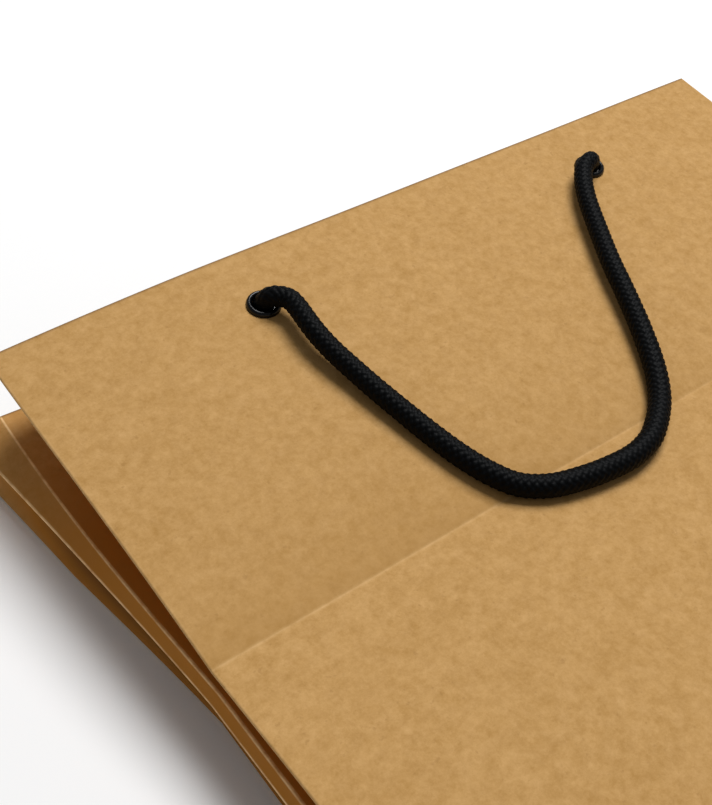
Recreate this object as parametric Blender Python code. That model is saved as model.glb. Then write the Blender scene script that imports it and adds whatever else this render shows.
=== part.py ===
"""Kraft paper carrier bag with rope handles, lying flat on its back with the mouth towards +Y.

The bag is folded flat the way a block-bottom bag is packed: gussets tucked in, bottom turned
under the back panel. Lengths are in metres, X is the bag's width and Z is up.
"""

import math

import bmesh
import bpy
import numpy as np
from mathutils import Matrix, Vector

# Bag size
BAG_WIDTH = 0.250
BAG_HEIGHT = 0.310
GUSSET_DEPTH = 0.090

# Paper
PAPER = 0.0004
FOLD_RADIUS = 0.0008
HEM_DEPTH = 0.045
HEM_THICKNESS = 0.00035
SEAT_GAP = 0.0003

# Bottom flap, turned under the back panel
BOTTOM_FLAP_THICKNESS = 0.0010
BOTTOM_FLAP_GAP = 0.0004
BOTTOM_END_WALL = 0.0012
BOTTOM_FLAP_INSET = 0.0004
BOTTOM_LIP_STEP = 0.0001

# How the panels stand off each other, measured where the photograph shows them
CREASE_FROM_MOUTH = 0.098
CREASE_HEIGHT = 0.0234
CREASE_SLOPE = 0.197
HEM_SLOPE = 0.141
SWELL_POWER = 2.2
SWELL_START = 0.040
BACK_FOLD_HEIGHT_START = 0.0086
BACK_FOLD_HEIGHT_CREASE = 0.0092
BACK_FOLD_HEIGHT_MOUTH = 0.0100
TUCK_RISE_CREASE = 0.0033
TUCK_RISE_MOUTH = 0.0037
SIDE_CREASE_INSET_CREASE = 0.0015
SIDE_CREASE_INSET_MOUTH = 0.0086
SIDE_CREASE_SHARE = 0.9
FLOOR_EDGE_INSET_START = 0.0006
FLOOR_EDGE_INSET_CREASE = 0.0021
FLOOR_EDGE_INSET_HEM = -0.0006
RIGHT_FOLD_SHIFT = 0.0080
ARCH_START = 0.0040
ARCH_HANDLE = 0.0064
ARCH_MOUTH = 0.0106
ARCH_SHOULDER = 0.16
ARCH_HANDLE_FROM_MOUTH = 0.120

# Eyelets and the card strips behind the hem
EYELET_SPACING = 0.1196
HANDLE_SHIFT = 0.0016
EYELET_FROM_MOUTH = 0.0193
EYELET_OUTER_RADIUS = 0.0046
EYELET_BARREL_RADIUS = 0.0036
EYELET_HOLE_RADIUS = 0.00305
EYELET_FLANGE = 0.0011
EYELET_CLINCH = 0.0006
EYELET_SEGMENTS = 24
CARD_LENGTH = 0.144
CARD_DEPTH = 0.038
CARD_THICKNESS = 0.0008
CARD_FROM_MOUTH = 0.004
CARD_CORNER = 0.003

# Rope handles
ROPE_DIAMETER = 0.0054
ROPE_STRAIGHT = 0.0007
ROPE_STEP = 0.0125
ROPE_END_STEP = 0.0022
ROPE_END_ZONE = 0.020
KNOT_RADIUS = 0.0052
KNOT_WAIST = 0.0044
KNOT_LENGTH = 0.0078
KNOT_SEGMENTS = 20

# Colours from the photograph, linear
PAPER_COLOUR = (0.47, 0.27, 0.10, 1.0)
CARD_COLOUR = (0.30, 0.17, 0.07, 1.0)
EYELET_COLOUR = (0.006, 0.006, 0.007, 1.0)
ROPE_COLOUR = (0.008, 0.008, 0.009, 1.0)

# Front handle's route from the left eyelet to the right one, clear of the eyelets
FRONT_ROUTE = (
    (-0.0579, 0.2878, 0.0388),
    (-0.0569, 0.2862, 0.0403),
    (-0.0548, 0.2832, 0.0408),
    (-0.0545, 0.2801, 0.0406),
    (-0.0550, 0.2761, 0.0402),
    (-0.0554, 0.2717, 0.0394),
    (-0.0553, 0.2678, 0.0384),
    (-0.0548, 0.2631, 0.0372),
    (-0.0539, 0.2581, 0.0360),
    (-0.0526, 0.2505, 0.0344),
    (-0.0508, 0.2418, 0.0326),
    (-0.0488, 0.2326, 0.0308),
    (-0.0465, 0.2241, 0.0292),
    (-0.0435, 0.2168, 0.0278),
    (-0.0395, 0.2109, 0.0267),
    (-0.0333, 0.2064, 0.0267),
    (-0.0252, 0.2039, 0.0267),
    (-0.0179, 0.2026, 0.0267),
    (-0.0102, 0.2021, 0.0267),
    (-0.0040, 0.2031, 0.0267),
    (0.0014, 0.2053, 0.0267),
    (0.0101, 0.2114, 0.0268),
    (0.0166, 0.2193, 0.0285),
    (0.0229, 0.2304, 0.0309),
    (0.0287, 0.2425, 0.0333),
    (0.0339, 0.2539, 0.0354),
    (0.0415, 0.2679, 0.0377),
    (0.0453, 0.2745, 0.0389),
    (0.0488, 0.2794, 0.0397),
    (0.0521, 0.2831, 0.0404),
    (0.0545, 0.2851, 0.0407),
    (0.0580, 0.2865, 0.0409),
    (0.0599, 0.2875, 0.0400),
    (0.0610, 0.2882, 0.0385),
)

# Back handle's route, flat on the surface under the back panel
BACK_ROUTE = (
    (-0.0581, 0.2891, 0.0050),
    (-0.0579, 0.2863, 0.0035),
    (-0.0574, 0.2810, 0.0030),
    (-0.0558, 0.2640, 0.0030),
    (-0.0518, 0.2430, 0.0030),
    (-0.0438, 0.2230, 0.0030),
    (-0.0288, 0.2070, 0.0030),
    (-0.0078, 0.2000, 0.0030),
    (0.0142, 0.2005, 0.0030),
    (0.0332, 0.2080, 0.0030),
    (0.0467, 0.2235, 0.0030),
    (0.0542, 0.2430, 0.0030),
    (0.0588, 0.2640, 0.0030),
    (0.0605, 0.2810, 0.0030),
    (0.0611, 0.2863, 0.0035),
    (0.0613, 0.2891, 0.0050),
)

# Values that follow from the sizes above
LEG = GUSSET_DEPTH / 2
HALF = BAG_WIDTH / 2
CREASE = BAG_HEIGHT - CREASE_FROM_MOUTH
HEM = BAG_HEIGHT - HEM_DEPTH
SWELL = GUSSET_DEPTH + SWELL_START
PACKED_BACK = BOTTOM_FLAP_THICKNESS + BOTTOM_FLAP_GAP + PAPER / 2
PACKED_FRONT = PACKED_BACK + 6 * FOLD_RADIUS
BOTTOM_FOLD_TOP = PACKED_FRONT + PAPER / 2 - BOTTOM_LIP_STEP
EYELET_HEIGHT = BAG_HEIGHT - EYELET_FROM_MOUTH
CARD_HEIGHT = BAG_HEIGHT - CARD_FROM_MOUTH - CARD_DEPTH / 2
HEM_FACE = PAPER / 2 + HEM_THICKNESS
CARD_MIDDLE = HEM_FACE + SEAT_GAP + CARD_THICKNESS / 2
CARD_FACE = CARD_MIDDLE + CARD_THICKNESS / 2


def clear_scene():
    for obj in list(bpy.data.objects):
        bpy.data.objects.remove(obj, do_unlink=True)


def make_material(name, colour, roughness):
    material = bpy.data.materials.new(name)
    material.use_nodes = True
    material.diffuse_color = colour
    shader = material.node_tree.nodes["Principled BSDF"]
    shader.inputs["Base Color"].default_value = colour
    shader.inputs["Roughness"].default_value = roughness
    shader.inputs["Metallic"].default_value = 0.0
    return material


def add_object(name, data, material, parent):
    obj = bpy.data.objects.new(name, data)
    bpy.context.scene.collection.objects.link(obj)
    if material.name not in data.materials:
        data.materials.append(material)
    obj.parent = parent
    return obj


# Panel shapes along the bag: h runs from the bottom fold (0) to the mouth (BAG_HEIGHT)


def front_z(h):
    """Height of the front panel: a swell up to the crease, then a rise that eases into the hem."""
    swell = 1 - (1 - np.clip(h / CREASE, 0, 1)) ** SWELL_POWER
    run = HEM - CREASE
    t = np.clip((h - CREASE) / run, 0, 1)
    rise = run * (CREASE_SLOPE * t + (HEM_SLOPE - CREASE_SLOPE) * t * t / 2)
    hem = np.clip(h - HEM, 0, None) * HEM_SLOPE
    return PACKED_FRONT + (CREASE_HEIGHT - PACKED_FRONT) * swell + rise + hem


def front_y(h):
    """Distance along Y of a point that lies h along the sloping front panel."""
    steps = np.linspace(0, BAG_HEIGHT, 1501)
    run = np.sqrt(np.diff(steps) ** 2 - np.diff(front_z(steps)) ** 2)
    return np.interp(h, steps, np.concatenate([[0], np.cumsum(run)]))


def along(h, *pairs):
    """Piecewise straight value at h between (place, value) pairs."""
    return float(np.interp(h, [p[0] for p in pairs], [p[1] for p in pairs]))


def back_arch(h):
    """How far the middle of the back panel stands above its floor edges."""
    handle = BAG_HEIGHT - ARCH_HANDLE_FROM_MOUTH
    return along(h, (GUSSET_DEPTH, 0.0), (SWELL, ARCH_START), (handle, ARCH_HANDLE), (BAG_HEIGHT, ARCH_MOUTH))


def floor_edge_z(h):
    """Centre height of the folds that touch the surface."""
    packed = PACKED_BACK + FOLD_RADIUS
    return along(h, (GUSSET_DEPTH, packed), (SWELL, FOLD_RADIUS + PAPER / 2))


def back_z(h):
    """Height of the flat middle of the back panel."""
    return floor_edge_z(h) - FOLD_RADIUS + back_arch(h)


def fold_centres(h):
    """Centres (x, z) of the folds round the section at h, clockwise from the front left fold.

    Each comes with +1 where the paper turns clockwise round it and -1 where it turns back.
    """
    r = FOLD_RADIUS
    floor = floor_edge_z(h)
    front = float(front_z(h)) - r
    front_left = (-HALF + r, front)
    front_right = (HALF - r, front)

    back_fold = along(
        h,
        (GUSSET_DEPTH, floor + r / 4),
        (SWELL, BACK_FOLD_HEIGHT_START),
        (CREASE, BACK_FOLD_HEIGHT_CREASE),
        (BAG_HEIGHT, BACK_FOLD_HEIGHT_MOUTH),
    )
    rise = along(h, (GUSSET_DEPTH, 2 * r), (CREASE, TUCK_RISE_CREASE), (BAG_HEIGHT, TUCK_RISE_MOUTH))
    inset = along(h, (CREASE, SIDE_CREASE_INSET_CREASE), (BAG_HEIGHT, SIDE_CREASE_INSET_MOUTH))
    tuck_z = back_fold + rise
    tuck_left = (front_left[0] + math.sqrt(LEG**2 - (front - tuck_z) ** 2), tuck_z)
    sloping = math.hypot(inset, SIDE_CREASE_SHARE * rise)
    lower_leg = inset + math.sqrt((LEG - sloping) ** 2 - ((1 - SIDE_CREASE_SHARE) * rise) ** 2)
    back_left = (tuck_left[0] - lower_leg, back_fold)
    side_crease = (back_left[0] + inset, back_fold + SIDE_CREASE_SHARE * rise)
    floor_inset = along(
        h,
        (GUSSET_DEPTH, FLOOR_EDGE_INSET_START),
        (CREASE, FLOOR_EDGE_INSET_CREASE),
        (HEM, FLOOR_EDGE_INSET_HEM),
    )
    floor_left = (back_left[0] + floor_inset, floor)

    shift = along(h, (CREASE, 0.0), (BAG_HEIGHT, RIGHT_FOLD_SHIFT))
    back_right = (front_right[0] - shift, floor)
    middle = (np.array(front_right) + back_right) / 2
    apart = np.array(front_right) - back_right
    reach = math.sqrt(LEG**2 - apart @ apart / 4)
    inward = np.array([-apart[1], apart[0]]) / math.hypot(*apart)
    tuck_right = tuple(middle + reach * inward)

    return (
        (front_left, 1),
        (front_right, 1),
        (tuck_right, -1),
        (back_right, 1),
        (floor_left, 1),
        (back_left, 1),
        (side_crease, 1),
        (tuck_left, -1),
    )


# Pieces each straight run is cut into, in the order of fold_centres, and points on each fold
RUN_PIECES = (6, 2, 2, 20, 1, 1, 2, 2)
FOLD_POINTS = (4, 4, 4, 4, 3, 3, 2, 4)
BACK_RUN = 3


def belt_angles(folds):
    """Direction of the straight run that leaves each fold, tangent to it and to the next one."""
    angles = []
    for (start, turn), (end, next_turn) in zip(folds, folds[1:] + folds[:1]):
        dx, dz = end[0] - start[0], end[1] - start[1]
        slant = (next_turn - turn) * FOLD_RADIUS / math.hypot(dx, dz)
        angles.append(math.atan2(dz, dx) + math.asin(slant))
    return angles


def section(h):
    """Middle line of the paper round the bag at h: points (x, z) and how far each is towards the back."""
    folds = fold_centres(h)
    angles = belt_angles(folds)
    points, depth = [], []
    depth_of_fold = (0.0, 0.0, 0.5, 1.0, 1.0, 1.0, 1.0, 0.5)
    for i, (centre, turn) in enumerate(folds):
        arriving, leaving = angles[i - 1], angles[i]
        bend = (leaving - arriving) % (2 * math.pi)
        bend = bend - 2 * math.pi if turn > 0 else bend
        for k in range(FOLD_POINTS[i]):
            angle = arriving + bend * k / (FOLD_POINTS[i] - 1)
            normal = np.array([-math.sin(angle), math.cos(angle)])
            points.append(np.array(centre) + turn * FOLD_RADIUS * normal)
            depth.append(depth_of_fold[i])
        after = (i + 1) % len(folds)
        normal = np.array([-math.sin(leaving), math.cos(leaving)])
        start = np.array(centre) + turn * FOLD_RADIUS * normal
        end = np.array(folds[after][0]) + folds[after][1] * FOLD_RADIUS * normal
        for k in range(1, RUN_PIECES[i]):
            t = k / RUN_PIECES[i]
            point = start + t * (end - start)
            if i == BACK_RUN:
                side = min(min(t, 1 - t) / ARCH_SHOULDER, 1.0)
                point[1] += back_arch(h) * side * side * (3 - 2 * side)
            points.append(point)
            depth.append(depth_of_fold[i] + t * (depth_of_fold[after] - depth_of_fold[i]))
    return np.array(points), np.array(depth)


def offset_loop(loop, distance):
    """A clockwise loop moved outwards by distance, square to its own line at each point."""
    before = np.roll(loop, 1, axis=0)
    after = np.roll(loop, -1, axis=0)
    first = loop - before
    second = after - loop
    first /= np.linalg.norm(first, axis=1)[:, None]
    second /= np.linalg.norm(second, axis=1)[:, None]
    mean = first + second
    mean /= np.linalg.norm(mean, axis=1)[:, None]
    normal = np.stack([-mean[:, 1], mean[:, 0]], axis=1)
    mitre = np.clip((first * mean).sum(axis=1), 0.5, 1)
    return loop + normal * (distance / mitre)[:, None]


def station_heights():
    """Places along the bag where its section is drawn."""
    packed = [0.0, BOTTOM_END_WALL, LEG / 2, LEG, GUSSET_DEPTH]
    swelling = list(np.linspace(GUSSET_DEPTH, SWELL, 5)[1:])
    lower = list(np.linspace(SWELL, CREASE, 6)[1:])
    upper = list(np.linspace(CREASE, HEM, 4)[1:])
    hem = list(np.linspace(HEM + HEM_THICKNESS, BAG_HEIGHT, 4))
    return packed + swelling + lower + upper + hem


def tube_mesh():
    """The closed tube of paper: an outer and an inner skin joined at the mouth, with a solid bottom end."""
    outer, inner = [], []
    for index, h in enumerate(station_heights()):
        loop, depth = section(h)
        y = front_y(h) + (h - front_y(h)) * depth
        layers = PAPER / 2 + (HEM_THICKNESS if h > HEM else 0.0)
        outside = offset_loop(loop, PAPER / 2)
        inside = offset_loop(loop, -layers)
        outer.append(np.column_stack([outside[:, 0], y, outside[:, 1]]))
        if index > 0:
            inner.append(np.column_stack([inside[:, 0], y, inside[:, 1]]))
    count = len(outer[0])
    rows, inner_rows = len(outer), len(inner)
    vertices = np.concatenate(outer + inner)
    faces = []

    def quad(row_a, row_b, flip):
        for k in range(count):
            n = (k + 1) % count
            corners = (row_a + k, row_a + n, row_b + n, row_b + k)
            faces.append(corners[::-1] if flip else corners)

    for row in range(rows - 1):
        quad(row * count, (row + 1) * count, flip=False)
    first_inner = rows * count
    for row in range(inner_rows - 1):
        quad(first_inner + row * count, first_inner + (row + 1) * count, flip=True)
    quad((rows - 1) * count, first_inner + (inner_rows - 1) * count, flip=False)
    faces.append(tuple(range(count))[::-1])
    faces.append(tuple(range(first_inner, first_inner + count)))
    mesh = bpy.data.meshes.new("paper_bag")
    mesh.from_pydata(vertices.tolist(), [], faces)
    tidy = bmesh.new()
    tidy.from_mesh(mesh)
    bmesh.ops.recalc_face_normals(tidy, faces=tidy.faces)
    bmesh.ops.triangulate(tidy, faces=tidy.faces)
    tidy.to_mesh(mesh)
    tidy.free()
    return mesh


def bottom_flap_mesh():
    """The bag's bottom, folded flat under the back panel, with the round fold that carries it."""
    top = BOTTOM_FOLD_TOP
    outer = top / 2
    inner = outer - PAPER
    turn = np.linspace(math.pi / 2, 3 * math.pi / 2, 9)
    lip = BOTTOM_END_WALL / 2
    profile = [(lip, top - PAPER), (lip, top)]
    profile += [(outer * math.cos(a), outer + outer * math.sin(a)) for a in turn]
    profile += [(GUSSET_DEPTH, 0.0), (GUSSET_DEPTH, BOTTOM_FLAP_THICKNESS), (0.0, BOTTOM_FLAP_THICKNESS)]
    profile += [(inner * math.cos(a), outer + inner * math.sin(a)) for a in turn[::-1]]
    reach = HALF - BOTTOM_FLAP_INSET
    count = len(profile)
    vertices = [(-reach, y, z) for y, z in profile] + [(reach, y, z) for y, z in profile]
    faces = [(k, (k + 1) % count, count + (k + 1) % count, count + k) for k in range(count)]
    faces += [tuple(range(count))[::-1], tuple(range(count, 2 * count))]
    mesh = bpy.data.meshes.new("bottom_flap")
    mesh.from_pydata(vertices, [], faces)
    tidy = bmesh.new()
    tidy.from_mesh(mesh)
    bmesh.ops.recalc_face_normals(tidy, faces=tidy.faces)
    tidy.to_mesh(mesh)
    tidy.free()
    return mesh


def add_boolean(obj, other, operation):
    modifier = obj.modifiers.new(operation.lower(), "BOOLEAN")
    modifier.operation = operation
    modifier.solver = "EXACT"
    modifier.object = other
    other.hide_render = True
    other.display_type = "WIRE"


# Eyelets, card strips, knots and ropes stand on frames: an origin on the panel and its outward normal


def panel_frame(x, h, back):
    """Matrix at (x, h) on the hem whose Z points out of the bag and whose X is the bag's width."""
    if back:
        slope = (back_z(BAG_HEIGHT) - back_z(HEM)) / HEM_DEPTH
        origin = Vector((x, h, back_z(h)))
        normal = Vector((0, slope, -1)).normalized()
    else:
        run = math.sqrt(1 - HEM_SLOPE**2)
        origin = Vector((x, front_y(h), float(front_z(h))))
        normal = Vector((0, -HEM_SLOPE, run))
    side = Vector((1, 0, 0))
    up = normal.cross(side)
    matrix = Matrix((side, up, normal)).transposed().to_4x4()
    matrix.translation = origin
    return matrix


def eyelet_frame(side, back):
    """Frame of the left (-1) or right (1) eyelet on the front or the back panel."""
    return panel_frame(HANDLE_SHIFT + side * EYELET_SPACING / 2, EYELET_HEIGHT, back)


def lathe_mesh(name, profile, segments, ring):
    """Profile points (radius, z) turned about Z; a ring closes on itself, a solid starts and ends on the axis."""
    shape = bmesh.new()
    points = [shape.verts.new((radius, 0, z)) for radius, z in profile]
    edges = [shape.edges.new(pair) for pair in zip(points, points[1:])]
    if ring:
        edges.append(shape.edges.new((points[-1], points[0])))
    bmesh.ops.spin(
        shape,
        geom=points + edges,
        cent=(0, 0, 0),
        axis=(0, 0, 1),
        angle=2 * math.pi,
        steps=segments,
        use_merge=True,
    )
    bmesh.ops.remove_doubles(shape, verts=shape.verts, dist=1e-6)
    bmesh.ops.recalc_face_normals(shape, faces=shape.faces)
    mesh = bpy.data.meshes.new(name)
    shape.to_mesh(mesh)
    shape.free()
    mesh.shade_smooth()
    mesh.set_sharp_from_angle(angle=math.radians(50))
    return mesh


def eyelet_mesh():
    """Ring with a domed outer flange, a barrel through paper and card, and a clinched inner lip."""
    seat = PAPER / 2 + SEAT_GAP
    clinch = -(CARD_FACE + SEAT_GAP)
    flange_middle = (EYELET_OUTER_RADIUS + EYELET_HOLE_RADIUS) / 2
    flange_reach = (EYELET_OUTER_RADIUS - EYELET_HOLE_RADIUS) / 2
    dome = [
        (flange_middle + flange_reach * math.cos(a), seat + EYELET_FLANGE * math.sin(a))
        for a in np.linspace(0, math.pi, 7)
    ]
    lip = EYELET_OUTER_RADIUS - EYELET_CLINCH / 2
    profile = dome + [
        (EYELET_HOLE_RADIUS, clinch - EYELET_CLINCH / 2),
        (EYELET_BARREL_RADIUS, clinch - EYELET_CLINCH),
        (lip, clinch - EYELET_CLINCH / 2),
        (lip, clinch),
        (EYELET_BARREL_RADIUS, clinch),
        (EYELET_BARREL_RADIUS, seat),
    ]
    return lathe_mesh("eyelet", profile, EYELET_SEGMENTS, ring=True)


def knot_start():
    """Depth below the panel at which a knot begins."""
    return CARD_FACE + SEAT_GAP + EYELET_CLINCH + SEAT_GAP


def knot_mesh():
    """Stopper knot: two rounded wraps of rope with a flat face against the eyelet."""
    start = knot_start()
    wrap = KNOT_LENGTH / 2
    profile = [(0.0, -start), (KNOT_WAIST * 0.8, -start)]
    for turn in range(2):
        middle = start + wrap * (turn + 0.5)
        for a in np.linspace(-math.pi / 3, math.pi / 3, 4):
            bulge = (math.cos(a) - 0.5) * 2
            radius = KNOT_WAIST + (KNOT_RADIUS - KNOT_WAIST) * bulge
            profile.append((radius, -(middle + wrap / 2 * math.sin(a) / math.sin(math.pi / 3) * 0.98)))
    end = start + KNOT_LENGTH
    profile += [(ROPE_DIAMETER / 2, -end), (0.0, -end)]
    return lathe_mesh("knot", profile, KNOT_SEGMENTS, ring=False)


def card_mesh():
    """Flat strip with rounded corners."""
    shape = bmesh.new()
    bmesh.ops.create_cube(shape, size=1.0)
    bmesh.ops.scale(shape, vec=(CARD_LENGTH, CARD_DEPTH, CARD_THICKNESS), verts=shape.verts)
    upright = [e for e in shape.edges if abs(e.verts[0].co.z - e.verts[1].co.z) > CARD_THICKNESS / 2]
    bmesh.ops.bevel(shape, geom=upright, offset=CARD_CORNER, segments=3, affect="EDGES", profile=0.5)
    mesh = bpy.data.meshes.new("card")
    shape.to_mesh(mesh)
    shape.free()
    return mesh


def hole_cutter(name, parent):
    """Cylinders through paper and card at all four eyelets, for the holes that the barrels pass."""
    shape = bmesh.new()
    for back in (False, True):
        for side in (-1, 1):
            bmesh.ops.create_cone(
                shape,
                cap_ends=True,
                segments=EYELET_SEGMENTS,
                radius1=EYELET_BARREL_RADIUS + SEAT_GAP,
                radius2=EYELET_BARREL_RADIUS + SEAT_GAP,
                depth=4 * CARD_FACE,
                matrix=eyelet_frame(side, back),
            )
    mesh = bpy.data.meshes.new(name)
    shape.to_mesh(mesh)
    shape.free()
    cutter = bpy.data.objects.new(name, mesh)
    bpy.context.scene.collection.objects.link(cutter)
    cutter.parent = parent
    return cutter


def smooth_route(route):
    """Dense points on a Catmull-Rom curve through the route's points."""
    points = np.array(route)
    ends = np.vstack([2 * points[0] - points[1], points, 2 * points[-1] - points[-2]])
    fine = []
    for a, b, c, d in zip(ends, ends[1:], ends[2:], ends[3:]):
        for t in np.linspace(0, 1, 24, endpoint=False):
            fine.append(
                0.5
                * (2 * b + (c - a) * t + (2 * a - 5 * b + 4 * c - d) * t**2 + (3 * b - a - 3 * c + d) * t**3)
            )
    fine.append(points[-1])
    return np.array(fine)


def rope_points(route, back):
    """Centre line from knot to knot, closer set where it bends through the eyelets."""
    start = knot_start() - SEAT_GAP
    ends = []
    for side in (-1, 1):
        frame = eyelet_frame(side, back)
        ends.append([np.array(frame @ Vector((0, 0, z))) for z in (-start, 0.0, ROPE_STRAIGHT)])
    curve = smooth_route(ends[0] + [np.array(p) for p in route] + ends[1][::-1])
    lengths = np.concatenate([[0], np.cumsum(np.linalg.norm(np.diff(curve, axis=0), axis=1))])
    total = lengths[-1]
    near = np.arange(0, ROPE_END_ZONE, ROPE_END_STEP)
    middle_run = total - 2 * near[-1]
    middle = near[-1] + np.linspace(0, middle_run, int(round(middle_run / ROPE_STEP)) + 1)[1:-1]
    places = np.concatenate([near, middle, total - near[::-1]])
    return np.column_stack([np.interp(places, lengths, curve[:, axis]) for axis in range(3)])


def rope_curve(name, route, back):
    data = bpy.data.curves.new(name, "CURVE")
    data.dimensions = "3D"
    data.bevel_depth = ROPE_DIAMETER / 2
    data.bevel_resolution = 2
    data.use_fill_caps = True
    points = rope_points(route, back)
    spline = data.splines.new("POLY")
    spline.points.add(len(points) - 1)
    for target, point in zip(spline.points, points):
        target.co = (*point, 1.0)
    return data


def main():
    clear_scene()
    paper = make_material("kraft_paper", PAPER_COLOUR, 0.85)
    card = make_material("grey_card", CARD_COLOUR, 0.9)
    black = make_material("black_eyelet", EYELET_COLOUR, 0.25)
    cord = make_material("black_rope", ROPE_COLOUR, 0.8)

    frame = bpy.data.objects.new("bag_frame", None)
    bpy.context.scene.collection.objects.link(frame)

    bag = add_object("paper_bag", tube_mesh(), paper, frame)
    flap = add_object("bottom_flap", bottom_flap_mesh(), paper, frame)
    cutter = hole_cutter("eyelet_holes", frame)
    add_boolean(bag, flap, "UNION")
    add_boolean(bag, cutter, "DIFFERENCE")

    eyelet = eyelet_mesh()
    knot = knot_mesh()
    for back, face in ((False, "front"), (True, "back")):
        strip = add_object(f"{face}_card", card_mesh(), card, frame)
        place = panel_frame(HANDLE_SHIFT, CARD_HEIGHT, back)
        strip.matrix_basis = place @ Matrix.Translation((0, 0, -CARD_MIDDLE))
        add_boolean(strip, cutter, "DIFFERENCE")
        for side, hand in ((-1, "left"), (1, "right")):
            place = eyelet_frame(side, back)
            ring = add_object(f"{face}_eyelet_{hand}", eyelet, black, frame)
            ring.matrix_basis = place
            stop = add_object(f"{face}_knot_{hand}", knot, cord, frame)
            stop.matrix_basis = place
        route = BACK_ROUTE if back else FRONT_ROUTE
        add_object(f"{face}_rope", rope_curve(f"{face}_rope", route, back), cord, frame)

    low = min(vertex.co.x for vertex in bag.data.vertices)
    high = max(vertex.co.x for vertex in bag.data.vertices)
    bottom = -BOTTOM_FOLD_TOP / 2
    frame.location = (-(low + high) / 2, -(bottom + BAG_HEIGHT) / 2, 0.0)
    bpy.context.view_layer.update()


main()
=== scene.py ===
"""Looks of a kraft paper carrier bag with braided rope handles, lying flat on a white surface."""

import math

import bpy
import numpy as np
from mathutils import Matrix, Vector


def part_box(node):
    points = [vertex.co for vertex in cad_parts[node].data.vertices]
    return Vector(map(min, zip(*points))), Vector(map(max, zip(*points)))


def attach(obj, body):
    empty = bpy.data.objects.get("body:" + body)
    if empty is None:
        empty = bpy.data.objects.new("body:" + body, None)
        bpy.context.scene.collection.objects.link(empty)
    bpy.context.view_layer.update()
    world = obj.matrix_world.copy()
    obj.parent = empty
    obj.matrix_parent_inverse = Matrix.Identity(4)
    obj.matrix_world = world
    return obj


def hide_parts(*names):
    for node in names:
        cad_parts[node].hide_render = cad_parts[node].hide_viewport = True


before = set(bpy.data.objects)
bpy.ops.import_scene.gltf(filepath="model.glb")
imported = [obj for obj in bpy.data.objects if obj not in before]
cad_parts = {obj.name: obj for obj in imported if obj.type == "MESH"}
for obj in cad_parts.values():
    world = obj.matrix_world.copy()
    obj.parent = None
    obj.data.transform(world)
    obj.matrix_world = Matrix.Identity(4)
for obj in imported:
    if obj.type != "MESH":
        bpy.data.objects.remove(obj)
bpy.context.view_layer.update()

# Bag sizes in metres: the solids' own, but for the sharper folds and the floor edge's insets, which are
# 0.3 to 0.4 mm more
BAG_WIDTH = 0.250
BAG_HEIGHT = 0.310
GUSSET_DEPTH = 0.090
PAPER = 0.0004
PACKED_LAYER = 0.0008
BACK_FOLD_LAYERS = 1.25
TUCK_RISE_LAYERS = 2
FRONT_LAYERS = 6
FOLD_RADIUS = 0.0003
HEM_DEPTH = 0.045
HEM_THICKNESS = 0.00035
SEAT_GAP = 0.0003
BOTTOM_FLAP_THICKNESS = 0.0010
BOTTOM_FLAP_GAP = 0.0004
BOTTOM_END_WALL = 0.0012
BOTTOM_FLAP_INSET = 0.0004
BOTTOM_LIP_STEP = 0.0001
CREASE_FROM_MOUTH = 0.098
CREASE_HEIGHT = 0.0234
CREASE_SLOPE = 0.197
HEM_SLOPE = 0.141
SWELL_POWER = 2.2
SWELL_START = 0.040
BACK_FOLD_HEIGHT_START = 0.0086
BACK_FOLD_HEIGHT_CREASE = 0.0092
BACK_FOLD_HEIGHT_MOUTH = 0.0100
TUCK_RISE_CREASE = 0.0033
TUCK_RISE_MOUTH = 0.0037
SIDE_CREASE_INSET_CREASE = 0.0015
SIDE_CREASE_INSET_MOUTH = 0.0086
SIDE_CREASE_SHARE = 0.9
SIDE_CREASE_POWER = 2.2
FLOOR_EDGE_INSET_START = 0.0009
FLOOR_EDGE_INSET_CREASE = 0.0025
FLOOR_EDGE_INSET_HEM = -0.0002
RIGHT_FOLD_SHIFT = 0.0080
ARCH_START = 0.0040
ARCH_HANDLE = 0.0064
ARCH_MOUTH = 0.0106
ARCH_SHOULDER = 0.16
ARCH_HANDLE_FROM_MOUTH = 0.120
EYELET_SPACING = 0.1196
HANDLE_SHIFT = 0.0016
EYELET_FROM_MOUTH = 0.0193
EYELET_OUTER_RADIUS = 0.0046
EYELET_BARREL_RADIUS = 0.0036
EYELET_HOLE_RADIUS = 0.00305
EYELET_FLANGE = 0.0011
EYELET_CLINCH = 0.0006
CARD_THICKNESS = 0.0008
ROPE_DIAMETER = 0.0054
ROPE_STRAIGHT = 0.0007
KNOT_LENGTH = 0.0078
KNOT_RADIUS = 0.0052

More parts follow.
